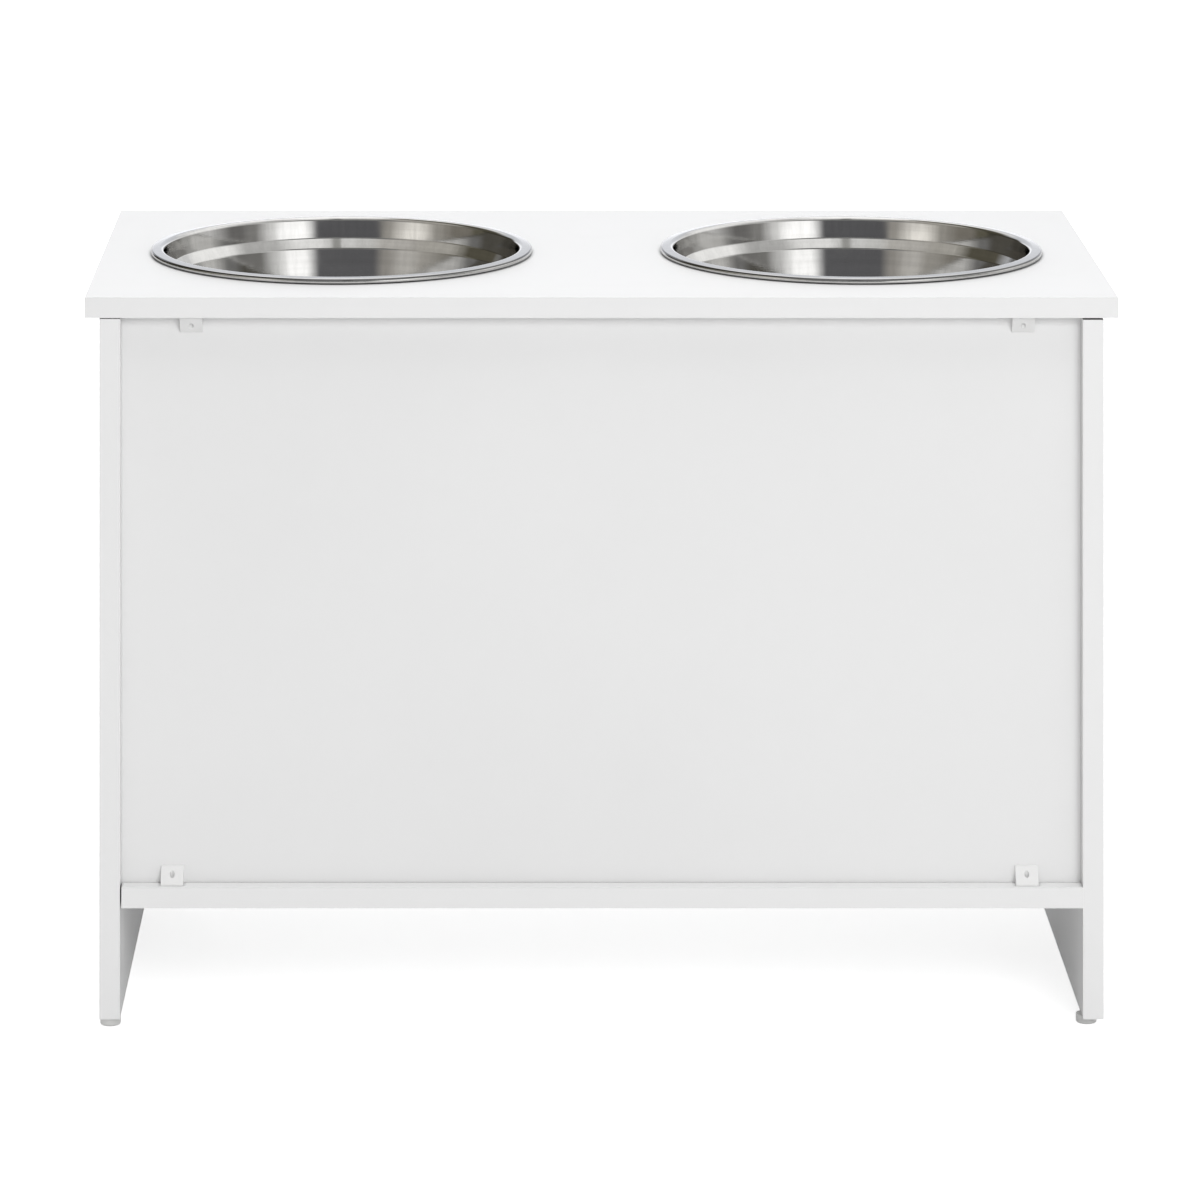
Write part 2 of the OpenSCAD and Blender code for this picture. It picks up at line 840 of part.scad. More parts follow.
module knob_screw(side) {
  cross_l = knob_screw_head_r * 1.1;
  cross_w = knob_screw_head_r * 0.25;
  color("silver")
    on_side(side)
      translate([knob_x, door_back_y, knob_z])
        rotate([90, 0, 0])
          difference() {
            turned([
              [0, -knob_screw_head_h], [knob_screw_head_r - knob_screw_crown, -knob_screw_head_h],
              [knob_screw_head_r, 0], [knob_screw_r, 0],
              [knob_screw_r, board_t + knob_screw_bite], [0, board_t + knob_screw_bite]
            ]);
            for (turn = [0, 90])
              rotate([0, 0, turn])
                translate([-cross_l / 2, -cross_w / 2, -knob_screw_head_h - over])
                  cube([cross_l, cross_w, knob_screw_head_h / 2 + over]);
          }
}

module at_catch_screws() {
  for (end = [-1, 1])
    translate([catch_x + end * (catch_w + catch_ear) / 2, catch_y + pole_proud + catch_d / 2,
      top_z - catch_base_t])
      children();
}

// The catch's screws run up into the top board.
module catch_screw_up() {
  rotate([180, 0, 0])
    children();
}

catch_screw_r = 1.4;
catch_screw_head_r = 2.8;
catch_screw_head_h = 1.4;
catch_screw_len = catch_base_t + board_t - board_skin;

module catch_screw_hole() {
  cylinder(r = catch_screw_r + hole_play, h = catch_screw_len + hole_end, $fn = round_fn);
}

// A plastic housing with a foot at each end, open at the front for the magnet and its plates
module catch_housing(side) {
  pocket_w = magnet_w + 2 * hole_play;
  pocket_h = magnet_t + 2 * pole_t + 2 * hole_play;
  color("white")
    on_side(side)
      difference() {
        union() {
          board([catch_x - catch_w / 2, catch_y + pole_proud, top_z - catch_h],
            [catch_w, catch_d, catch_h]);
          board([catch_x - catch_w / 2 - catch_ear, catch_y + pole_proud, top_z - catch_base_t],
            [catch_w + 2 * catch_ear, catch_d, catch_base_t]);
        }
        board([catch_x - pocket_w / 2, catch_y + pole_proud - over, catch_mid_z - pocket_h / 2],
          [pocket_w, magnet_d + magnet_back + over, pocket_h]);
        at_catch_screws()
          catch_screw_up()
            countersunk_hole(catch_screw_r, catch_screw_head_r, catch_screw_head_h, catch_base_t);
      }
}

module catch_magnets() {
  color("dimgray")
    for (side = [left, right])
      on_side(side)
        board([catch_x - magnet_w / 2, catch_y + pole_proud + magnet_back, catch_mid_z - magnet_t / 2],
          [magnet_w, magnet_d - magnet_back, magnet_t]);
}

module catch_pole_plates() {
  color("silver")
    for (side = [left, right], edge = [0, 1])
      on_side(side)
        translate([0, 0, edge * (magnet_t + pole_t) - pole_t])
          board([catch_x - magnet_w / 2, catch_y, catch_mid_z - magnet_t / 2],
            [magnet_w, magnet_d + pole_proud, pole_t]);
}

module catch_screws() {
  color("silver")
    for (side = [left, right])
      on_side(side)
        at_catch_screws()
          catch_screw_up()
            countersunk_screw(catch_screw_r, catch_screw_head_r, catch_screw_head_h, catch_screw_len);
}

strike_screw_r = 1.4;
strike_screw_head_r = 2.6;
strike_screw_len = strike_t + board_t - board_skin;

// The strike's screw goes in from behind the door.
module at_strike() {
  translate([catch_x, door_back_y + strike_t, catch_mid_z])
    rotate([-90, 0, 0])
      children();
}

module strike_pilot_hole() {
  translate([0, 0, -strike_screw_len - hole_end])
    cylinder(r = strike_screw_r + hole_play, h = strike_screw_len, $fn = round_fn);
}

module strike_plate(side) {
  color("silver")
    on_side(side)
      difference() {
        board([catch_x - strike_w / 2, door_back_y, catch_mid_z - strike_h / 2],
          [strike_w, strike_t, strike_h]);
        at_strike()
          countersunk_hole(strike_screw_r, strike_screw_head_r, strike_t, strike_t);
      }
}

module strike_screw(side) {
  color("silver")
    on_side(side)
      at_strike()
        countersunk_screw(strike_screw_r, strike_screw_head_r, strike_t, strike_screw_len);
}

// ---- Nodes ----

top_panel();
side_panel(left);  // left_side_panel
side_panel(right);  // right_side_panel
bottom_panel();
back_panel();
back_wedge_node(left, true);  // upper_left_back_wedge
back_wedge_node(right, true);  // upper_right_back_wedge
back_wedge_node(left, false);  // lower_left_back_wedge
back_wedge_node(right, false);  // lower_right_back_wedge
back_wedge_nails();
wooden_dowels();
cam_bolts();
cam_locks();
glide(left, true);  // left_front_glide
glide(left, false);  // left_rear_glide
glide(right, true);  // right_front_glide
glide(right, false);  // right_rear_glide
glide_nails();
bowl(left);  // left_bowl
bowl(right);  // right_bowl
door(left);  // left_door
door(right);  // right_door
side_leaf(left, true);  // left_upper_hinge_side_leaf
side_leaf(left, false);  // left_lower_hinge_side_leaf
side_leaf(right, true);  // right_upper_hinge_side_leaf
side_leaf(right, false);  // right_lower_hinge_side_leaf
door_leaf(left, true);  // left_upper_hinge_door_leaf
door_leaf(left, false);  // left_lower_hinge_door_leaf
door_leaf(right, true);  // right_upper_hinge_door_leaf
door_leaf(right, false);  // right_lower_hinge_door_leaf
hinge_pin(left, true);  // left_upper_hinge_pin
hinge_pin(left, false);  // left_lower_hinge_pin
hinge_pin(right, true);  // right_upper_hinge_pin
hinge_pin(right, false);  // right_lower_hinge_pin
side_hinge_screws();
door_hinge_screws(left);  // left_door_hinge_screws
door_hinge_screws(right);  // right_door_hinge_screws
knob(left);  // left_knob
knob(right);  // right_knob
knob_screw(left);  // left_knob_screw
knob_screw(right);  // right_knob_screw
catch_housing(left);  // left_catch_housing
catch_housing(right);  // right_catch_housing
catch_magnets();
catch_pole_plates();
catch_screws();
strike_plate(left);  // left_strike_plate
strike_plate(right);  // right_strike_plate
strike_screw(left);  // left_strike_screw
strike_screw(right);  // right_strike_screw
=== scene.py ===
import json
import math

import bmesh
import bpy
from mathutils import Matrix, Vector


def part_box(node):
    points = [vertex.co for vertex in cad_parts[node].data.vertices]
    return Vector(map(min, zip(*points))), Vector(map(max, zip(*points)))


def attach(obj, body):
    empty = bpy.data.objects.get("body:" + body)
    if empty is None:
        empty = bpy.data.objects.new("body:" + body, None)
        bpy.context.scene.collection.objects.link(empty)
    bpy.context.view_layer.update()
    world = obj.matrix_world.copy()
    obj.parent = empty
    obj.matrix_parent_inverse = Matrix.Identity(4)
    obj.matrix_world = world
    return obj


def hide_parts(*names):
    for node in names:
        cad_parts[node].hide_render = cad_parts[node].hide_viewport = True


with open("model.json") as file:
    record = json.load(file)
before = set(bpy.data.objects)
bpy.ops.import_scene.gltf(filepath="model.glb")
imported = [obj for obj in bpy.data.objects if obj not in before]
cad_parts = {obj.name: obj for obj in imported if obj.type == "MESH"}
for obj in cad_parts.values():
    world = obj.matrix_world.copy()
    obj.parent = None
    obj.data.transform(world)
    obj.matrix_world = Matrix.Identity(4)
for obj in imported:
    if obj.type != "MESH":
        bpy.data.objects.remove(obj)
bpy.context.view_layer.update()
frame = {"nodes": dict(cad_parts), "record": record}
nodes = frame["nodes"]
scene = bpy.context.scene

sides = ["left", "right"]
boardNodes = ["top_panel", "left_side_panel", "right_side_panel", "bottom_panel", "left_door", "right_door"]


def middleOf(node):
    low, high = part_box(node)
    return (low + high) / 2


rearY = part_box("top_panel")[1].y
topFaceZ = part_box("top_panel")[1].z


# ---- camera ----

photoView = {  # measured in the 1200 pixel frame
    "framePixels": 1200,
    "pixelsPerMetre": 1723.3,  # at the plane of the rear edges
    "topMiddlePixel": 601.5,
    "topEdgePixel": 297.4,
    "eyePixel": (490.0, -671.0),  # where lines that run front to back meet
    "eyeDistance": 3.19,  # from the plane of the rear edges, in metres
    "sensorWidth": 36.0,
}


# The picture keeps upright edges parallel, so the view plane stays upright while the view looks down:
# the camera's own axis leans, and its picture plane does not.
def makeCamera(view):
    scale = view["pixelsPerMetre"]
    half = view["framePixels"] / 2
    eyeX, eyeY = view["eyePixel"]
    eye = Vector((
        (view["topMiddlePixel"] - eyeX) / scale,
        rearY + view["eyeDistance"],
        topFaceZ + (view["topEdgePixel"] - eyeY) / scale,
    ))
    focalPixels = scale * view["eyeDistance"]
    backward = Vector(((half - eyeX) / focalPixels, 1.0, (half - eyeY) / focalPixels))
    lean = backward.length
    backward.normalize()
    data = bpy.data.cameras.new("photoCamera")
    data.sensor_width = view["sensorWidth"]
    data.lens = focalPixels * lean / view["framePixels"] * view["sensorWidth"]
    data.clip_start = 0.1
    data.clip_end = 200
    camera = bpy.data.objects.new("photoCamera", data)
    stand = bpy.data.objects.new("cameraStand", None)
    for item in (camera, stand):
        scene.collection.objects.link(item)
    camera.parent = stand
    camera.matrix_parent_inverse = Matrix((
        (-1.0, 0.0, backward.x, eye.x),
        (0.0, 0.0, backward.y, eye.y),
        (0.0, 1.0, backward.z, eye.z),
        (0.0, 0.0, 0.0, 1.0),
    ))
    scene.camera = camera


makeCamera(photoView)
print("camera placed")


# ---- node helpers ----

def addNode(tree, kind, links=None, **settings):
    node = tree.nodes.new(kind)
    for key, value in settings.items():
        setattr(node, key, value)
    for socket, value in (links or {}).items():
        plug(tree, node.inputs[socket], value)
    return node


def plug(tree, socket, value):
    if isinstance(value, bpy.types.NodeSocket):
        tree.links.new(value, socket)
    else:
        socket.default_value = value


def math2(tree, operation, a, b=0.0, c=0.0, clamp=False):
    node = addNode(tree, "ShaderNodeMath", {0: a, 1: b}, operation=operation, use_clamp=clamp)
    if operation in ("MULTIPLY_ADD", "SMOOTH_MIN", "SMOOTH_MAX"):
        plug(tree, node.inputs[2], c)
    return node.outputs[0]


def mixColours(tree, factor, a, b):
    node = addNode(tree, "ShaderNodeMix", {0: factor}, data_type="RGBA")
    plug(tree, node.inputs[6], a)
    plug(tree, node.inputs[7], b)
    return node.outputs[2]


def remap(tree, value, fromMin, fromMax, toMin, toMax, smooth=False):
    node = addNode(tree, "ShaderNodeMapRange",
                   {0: value, 1: fromMin, 2: fromMax, 3: toMin, 4: toMax},
                   interpolation_type="SMOOTHSTEP" if smooth else "LINEAR")
    return node.outputs[0]


def newGroup(name, inputs, outputs):
    tree = bpy.data.node_groups.new(name, "ShaderNodeTree")
    for title, (kind, value) in inputs.items():
        socket = tree.interface.new_socket(title, in_out="INPUT", socket_type=kind)
        socket.default_value = value
    for title, kind in outputs.items():
        tree.interface.new_socket(title, in_out="OUTPUT", socket_type=kind)
    return tree, tree.nodes.new("NodeGroupInput").outputs, tree.nodes.new("NodeGroupOutput").inputs


def useGroup(tree, group, values):
    node = tree.nodes.new("ShaderNodeGroup")
    node.node_tree = group
    for socket, value in values.items():
        plug(tree, node.inputs[socket], value)
    return node.outputs


def newMaterial(name, **shaderValues):
    material = bpy.data.materials.new(name)
    material.use_nodes = True
    tree = material.node_tree
    tree.nodes.clear()
    shader = addNode(tree, "ShaderNodeBsdfPrincipled")
    for socket, value in shaderValues.items():
        shader.inputs[socket].default_value = value
    out = addNode(tree, "ShaderNodeOutputMaterial")
    tree.links.new(shader.outputs[0], out.inputs[0])
    return material, tree, shader


def addBump(tree, shader, height, strength, distance):
    bump = addNode(tree, "ShaderNodeBump", {"Height": height, "Strength": strength, "Distance": distance})
    tree.links.new(bump.outputs[0], shader.inputs["Normal"])


white = (1.0, 1.0, 1.0, 1.0)


# ---- shared effects ----

# Fine grain: a small noise over a larger one, for the faint texture of a face
def buildGrain():
    tree, given, out = newGroup(
        "fineGrain",
        {"Scale": ("NodeSocketFloat", 900.0), "Coarse share": ("NodeSocketFloat", 0.3)},
        {"Height": "NodeSocketFloat", "Mottle": "NodeSocketFloat"})
    place = addNode(tree, "ShaderNodeTexCoord").outputs["Object"]
    fine = addNode(tree, "ShaderNodeTexNoise", {"Vector": place, "Scale": given["Scale"], "Detail": 2.0})
    coarseScale = math2(tree, "MULTIPLY", given["Scale"], 0.12)
    coarse = addNode(tree, "ShaderNodeTexNoise", {"Vector": place, "Scale": coarseScale, "Detail": 2.0})
    broad = addNode(tree, "ShaderNodeTexNoise", {"Vector": place, "Scale": 5.0, "Detail": 3.0})
    mixed = addNode(tree, "ShaderNodeMix",
                    {0: given["Coarse share"], 2: fine.outputs[0], 3: coarse.outputs[0]})
    tree.links.new(mixed.outputs[0], out["Height"])
    tree.links.new(broad.outputs[0], out["Mottle"])
    return tree


# Handling marks: soft patches where a face has been touched
def buildSmudges():
    tree, given, out = newGroup(
        "handlingMarks",
        {"Scale": ("NodeSocketFloat", 14.0), "Amount": ("NodeSocketFloat", 0.08)},
        {"Mask": "NodeSocketFloat"})
    place = addNode(tree, "ShaderNodeTexCoord").outputs["Object"]
    bent = addNode(tree, "ShaderNodeTexNoise", {"Vector": place, "Scale": given["Scale"], "Detail": 5.0,
                                               "Distortion": 1.2})
    patch = remap(tree, bent.outputs[0], 0.48, 0.72, 0.0, 1.0, smooth=True)
    tree.links.new(math2(tree, "MULTIPLY", patch, given["Amount"]), out["Mask"])
    return tree


# Distance of a point on a box's face from the box's nearest arris, and from it the band along the arris
def buildArris():
    tree, given, out = newGroup(
        "arrisBand",
        {"Middle": ("NodeSocketVector", (0.0, 0.0, 0.0)), "Half size": ("NodeSocketVector", (1.0, 1.0, 1.0)),
         "Width": ("NodeSocketFloat", 0.001)},
        {"Band": "NodeSocketFloat", "Seam": "NodeSocketFloat"})
    place = addNode(tree, "ShaderNodeTexCoord").outputs["Object"]
    offset = addNode(tree, "ShaderNodeVectorMath", {0: place, 1: given["Middle"]}, operation="SUBTRACT")
    size = addNode(tree, "ShaderNodeVectorMath", {0: offset.outputs[0]}, operation="ABSOLUTE")
    inside = addNode(tree, "ShaderNodeVectorMath", {0: given["Half size"], 1: size.outputs[0]},
                     operation="SUBTRACT")
    parts = addNode(tree, "ShaderNodeSeparateXYZ", {0: inside.outputs[0]}).outputs
    lower = math2(tree, "MINIMUM", parts[0], parts[1])
    upper = math2(tree, "MAXIMUM", parts[0], parts[1])
    second = math2(tree, "MAXIMUM", lower, math2(tree, "MINIMUM", upper, parts[2]))
    band = remap(tree, math2(tree, "DIVIDE", second, given["Width"]), 0.0, 1.0, 1.0, 0.0, smooth=True)
    seamAt = math2(tree, "ABSOLUTE", math2(tree, "SUBTRACT", second, 0.00055))
    seam = remap(tree, seamAt, 0.00004, 0.00014, 1.0, 0.0, smooth=True)
    tree.links.new(band, out["Band"])
    tree.links.new(seam, out["Seam"])
    return tree


# Raw core of a faced board: the inside of its bores, and the cut end that Cut axis points out of
def buildCore():
    tree, given, out = newGroup(
        "chipboardCore",
        {"Middle": ("NodeSocketVector", (0.0, 0.0, 0.0)), "Half size": ("NodeSocketVector", (1.0, 1.0, 1.0)),
         "Cut axis": ("NodeSocketVector", (0.0, 0.0, 0.0)), "Both ends": ("NodeSocketFloat", 0.0),
         "Skin": ("NodeSocketFloat", 0.0008)},
        {"Core": "NodeSocketFloat", "Chips": "NodeSocketFloat"})
    coords = addNode(tree, "ShaderNodeTexCoord").outputs
    place = coords["Object"]
    offset = addNode(tree, "ShaderNodeVectorMath", {0: place, 1: given["Middle"]}, operation="SUBTRACT")
    size = addNode(tree, "ShaderNodeVectorMath", {0: offset.outputs[0]}, operation="ABSOLUTE")
    inside = addNode(tree, "ShaderNodeVectorMath", {0: given["Half size"], 1: size.outputs[0]},
                     operation="SUBTRACT")
    parts = addNode(tree, "ShaderNodeSeparateXYZ", {0: inside.outputs[0]}).outputs
    nearest = math2(tree, "MINIMUM", math2(tree, "MINIMUM", parts[0], parts[1]), parts[2])
    bored = math2(tree, "GREATER_THAN", nearest, given["Skin"])
    facing = addNode(tree, "ShaderNodeVectorMath", {0: coords["Normal"], 1: given["Cut axis"]},
                     operation="DOT_PRODUCT")
    either = math2(tree, "MULTIPLY", math2(tree, "ABSOLUTE", facing.outputs["Value"]), given["Both ends"])
    cut = math2(tree, "GREATER_THAN", math2(tree, "MAXIMUM", facing.outputs["Value"], either), 0.3)
    chips = addNode(tree, "ShaderNodeTexVoronoi", {"Vector": place, "Scale": 900.0, "Randomness": 1.0})
    fine = addNode(tree, "ShaderNodeTexNoise", {"Vector": place, "Scale": 700.0, "Detail": 4.0})
    tree.links.new(math2(tree, "MAXIMUM", bored, cut), out["Core"])
    tree.links.new(math2(tree, "MULTIPLY", chips.outputs["Distance"], fine.outputs[0]), out["Chips"])
    return tree


# Turning lines: rings round an upright axis at Middle, broken a little along their length
def buildTurning():
    tree, given, out = newGroup(
        "turningLines",
        {"Middle": ("NodeSocketVector", (0.0, 0.0, 0.0)), "Density": ("NodeSocketFloat", 1500.0)},
        {"Lines": "NodeSocketFloat", "Streaks": "NodeSocketFloat", "Grinding": "NodeSocketFloat"})
    place = addNode(tree, "ShaderNodeTexCoord").outputs["Object"]
    offset = addNode(tree, "ShaderNodeVectorMath", {0: place, 1: given["Middle"]}, operation="SUBTRACT")
    parts = addNode(tree, "ShaderNodeSeparateXYZ", {0: offset.outputs[0]}).outputs
    flat = addNode(tree, "ShaderNodeCombineXYZ", {0: parts[0], 1: parts[1]})
    radius = addNode(tree, "ShaderNodeVectorMath", {0: flat.outputs[0]}, operation="LENGTH").outputs["Value"]
    angle = math2(tree, "ARCTAN2", parts[1], parts[0])
    bend = math2(tree, "MULTIPLY", math2(tree, "SINE", angle), 0.004)
    bend2 = math2(tree, "MULTIPLY", math2(tree, "COSINE", angle), 0.004)
    ring = addNode(tree, "ShaderNodeCombineXYZ", {
        0: radius,
        1: parts[2],
        2: math2(tree, "ADD", bend, bend2),
    })
    lines = addNode(tree, "ShaderNodeTexNoise", {"Vector": ring.outputs[0], "Scale": given["Density"],
                                                "Detail": 3.0})
    streaks = addNode(tree, "ShaderNodeTexNoise",
                      {"Vector": ring.outputs[0], "Scale": math2(tree, "MULTIPLY", given["Density"], 0.12),
                       "Detail": 3.0})
    tall = addNode(tree, "ShaderNodeCombineXYZ", {
        0: parts[0],
        1: parts[1],
        2: math2(tree, "MULTIPLY", parts[2], 0.12),  # drawn out upwards
    })
    grinding = addNode(tree, "ShaderNodeTexNoise", {"Vector": tall.outputs[0], "Scale": 260.0, "Detail": 4.0,
                                                   "Roughness": 0.6})
    tree.links.new(grinding.outputs[0], out["Grinding"])
    tree.links.new(lines.outputs[0], out["Lines"])
    tree.links.new(streaks.outputs[0], out["Streaks"])
    return tree


# A rolled edge, in section: a painted dark reflection along a band of the roll's upper turn, and painted shade
# on its underside
def buildRolledEdge():
    tree, given, out = newGroup(
        "rolledEdge",
        {"Middle": ("NodeSocketVector", (0.0, 0.0, 0.0)), "Roll circle": ("NodeSocketFloat", 0.1),
         "Line angle": ("NodeSocketFloat", 46.0), "Line width": ("NodeSocketFloat", 24.0)},
        {"Line": "NodeSocketFloat", "Underside": "NodeSocketFloat"})
    place = addNode(tree, "ShaderNodeTexCoord").outputs["Object"]
    offset = addNode(tree, "ShaderNodeVectorMath", {0: place, 1: given["Middle"]}, operation="SUBTRACT")
    parts = addNode(tree, "ShaderNodeSeparateXYZ", {0: offset.outputs[0]}).outputs
    flat = addNode(tree, "ShaderNodeCombineXYZ", {0: parts[0], 1: parts[1]})
    radius = addNode(tree, "ShaderNodeVectorMath", {0: flat.outputs[0]}, operation="LENGTH").outputs["Value"]
    across = math2(tree, "SUBTRACT", radius, given["Roll circle"])
    turn = math2(tree, "DEGREES", math2(tree, "ARCTAN2", parts[2], across))
    outer = math2(tree, "GREATER_THAN", across, 0.0)
    off = math2(tree, "DIVIDE", math2(tree, "ABSOLUTE", math2(tree, "SUBTRACT", turn, given["Line angle"])),
                given["Line width"])
    line = remap(tree, off, 0.6, 1.0, 1.0, 0.0, smooth=True)
    under = remap(tree, turn, -24.0, -42.0, 0.0, 1.0, smooth=True)
    tree.links.new(math2(tree, "MULTIPLY", line, outer), out["Line"])
    tree.links.new(math2(tree, "MULTIPLY", under, outer), out["Underside"])
    return tree


grain = buildGrain()
smudges = buildSmudges()
arris = buildArris()
core = buildCore()
turning = buildTurning()
rolledEdge = buildRolledEdge()
print("shared effects built")


# ---- materials ----

boardFinish = {
    "colour": (0.8, 0.8, 0.8, 1.0),
    # lighter tone of the edge band, with a painted highlight along each arris
    "edgeBandHighlightColour": (0.84, 0.84, 0.84, 1.0),
    "roughness": 0.42,
    "grainScale": 1500.0,
    "bump": 0.05,
    # Both core colours are darker than raw chipboard, as painted shade in the seams and bores where the core
    # shows
    "coreColourWithSeamShade": (0.11, 0.083, 0.06, 1.0),
    "coreChipToneWithSeamShade": (0.05, 0.038, 0.028, 1.0),
    "cutAxis": {"left_side_panel": (0, 0, 1), "right_side_panel": (0, 0, 1), "bottom_panel": (1, 0, 0)},
    "cutAtBothEnds": ["bottom_panel"],
    "occlusionShadeReach": 0.0025,  # how near another face the painted shade reaches
    "occlusionShadeDepth": 0.55,
}


def makeBoardMaterial(node, finish):
    low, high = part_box(node)
    material, tree, shader = newMaterial(node + "Face", **{"IOR": 1.5})
    face = useGroup(tree, grain, {"Scale": finish["grainScale"], "Coarse share": 0.5})
    marks = useGroup(tree, smudges, {"Scale": 11.0, "Amount": 0.07})
    edge = useGroup(tree, arris, {"Middle": (low + high) / 2, "Half size": (high - low) / 2, "Width": 0.0012})
    mottle = remap(tree, face["Mottle"], 0.3, 0.7, -0.5, 0.5)
    tone = mixColours(tree, math2(tree, "MULTIPLY_ADD", mottle, 0.25, 0.3, clamp=True),
                      finish["colour"], tuple(0.975 * c for c in finish["colour"][:3]) + (1.0,))
    # The edge band's lighter tone, with a painted highlight, along each arris
    edgeBandAndHighlight = mixColours(tree, math2(tree, "MULTIPLY", edge["Band"], 0.35), tone, finish["edgeBandHighlightColour"])
    seamed = mixColours(tree, math2(tree, "MULTIPLY", edge["Seam"], 0.22), edgeBandAndHighlight, (0.42, 0.42, 0.41, 1.0))
    raw = useGroup(tree, core, {"Middle": (low + high) / 2, "Half size": (high - low) / 2,
                                "Cut axis": finish["cutAxis"].get(node, (0, 0, 0)),
                                "Both ends": float(node in finish["cutAtBothEnds"])})
    chips = mixColours(tree, raw["Chips"], finish["coreChipToneWithSeamShade"], finish["coreColourWithSeamShade"])
    # Painted shade: an occlusion term darkens the board's colour in creases, corners and joints near other
    # faces
    creaseOcclusion = addNode(tree, "ShaderNodeAmbientOcclusion", {"Distance": finish["occlusionShadeReach"]}, samples=8)
    shade = remap(tree, creaseOcclusion.outputs["AO"], 0.35, 0.95, finish["occlusionShadeDepth"], 0.0)
    shaded = mixColours(tree, shade, mixColours(tree, raw["Core"], seamed, chips), (0.1, 0.1, 0.1, 1.0))
    tree.links.new(shaded, shader.inputs["Base Color"])
    rough = math2(tree, "ADD", math2(tree, "MULTIPLY_ADD", mottle, 0.05, finish["roughness"]), marks["Mask"])
    rough = math2(tree, "MAXIMUM", rough, math2(tree, "MULTIPLY", raw["Core"], 0.85))
    tree.links.new(rough, shader.inputs["Roughness"])
    addBump(tree, shader, face["Height"], finish["bump"], 0.0004)
    return material


def makeFaceMaterial(name, colour, roughness, grainScale, bumpStrength, mottleShare=0.06, **values):
    material, tree, shader = newMaterial(name, **values)
    face = useGroup(tree, grain, {"Scale": grainScale, "Coarse share": 0.4})
    marks = useGroup(tree, smudges, {"Scale": 30.0, "Amount": 0.08})
    dark = tuple(c * (1 - mottleShare) for c in colour) + (1.0,)
    tree.links.new(mixColours(tree, face["Mottle"], colour + (1.0,), dark), shader.inputs["Base Color"])
    tree.links.new(math2(tree, "ADD", marks["Mask"], roughness), shader.inputs["Roughness"])
    addBump(tree, shader, face["Height"], bumpStrength, 0.0003)
    return material


steelFinish = {
    "density": 1500.0,  # of the turning lines
    "paleTone": (0.61, 0.605, 0.595, 1.0),
    "darkTone": (0.52, 0.515, 0.505, 1.0),
    "groundTone": (0.42, 0.417, 0.41, 1.0),
    "groundShare": 0.3,
    "shadeTone": (0.04, 0.04, 0.042, 1.0),
    "paintedDarkLine": 0.88,  # painted dark reflection, along a band of the roll's turn
    # painted shade under the roll
    "paintedUndersideShade": 0.75,
    "roughness": 0.03,
    "streakRoughness": 0.05,  # added by the turning lines
    "groundRoughness": 0.03,  # added by the grinding
    "bump": 0.1,
    "lineHeight": 0.00005,
}


def makeSteelMaterial(node, shape, finish):
    material, tree, shader = newMaterial(node + "Steel", Metallic=1.0)
    middle = middleOf(node)
    turned = useGroup(tree, turning, {"Middle": middle, "Density": finish["density"]})
    marks = useGroup(tree, smudges, {"Scale": 18.0, "Amount": 0.04})
    tone = mixColours(tree, remap(tree, turned["Streaks"], 0.3, 0.7, 0.0, 1.0),
                      finish["paleTone"], finish["darkTone"])
    ground = remap(tree, turned["Grinding"], 0.38, 0.66, 0.0, 1.0)
    tone = mixColours(tree, math2(tree, "MULTIPLY", ground, finish["groundShare"]), tone, finish["groundTone"])
    bead = shape["beadRadius"]
    roll = useGroup(tree, rolledEdge, {"Middle": (middle.x, middle.y, topFaceZ + bead),
                                       "Roll circle": shape["rimRadius"] - bead})
    # Painted shade under the roll and a painted dark reflection across its turn darken the steel's colour
    under = math2(tree, "MULTIPLY", roll["Underside"], finish["paintedUndersideShade"])
    shade = math2(tree, "MULTIPLY_ADD", roll["Line"], finish["paintedDarkLine"], under)
    shaded = mixColours(tree, shade, tone, finish["shadeTone"])
    tree.links.new(shaded, shader.inputs["Base Color"])
    rough = math2(tree, "MULTIPLY_ADD", turned["Streaks"], finish["streakRoughness"], finish["roughness"])
    rough = math2(tree, "ADD", rough, marks["Mask"])
    rough = math2(tree, "MULTIPLY_ADD", ground, finish["groundRoughness"], rough)
    tree.links.new(rough, shader.inputs["Roughness"])
    addBump(tree, shader, turned["Lines"], finish["bump"], finish["lineHeight"])
    return material


def makeMetalMaterial(name, colour, roughness, grainScale=2500.0):
    material, tree, shader = newMaterial(name, Metallic=1.0)
    face = useGroup(tree, grain, {"Scale": grainScale, "Coarse share": 0.3})
    marks = useGroup(tree, smudges, {"Scale": 120.0, "Amount": 0.15})
    dark = tuple(0.85 * c for c in colour) + (1.0,)
    tree.links.new(mixColours(tree, face["Mottle"], colour + (1.0,), dark), shader.inputs["Base Color"])
    tree.links.new(math2(tree, "ADD", marks["Mask"], roughness), shader.inputs["Roughness"])
    addBump(tree, shader, face["Height"], 0.06, 0.0001)
    return material


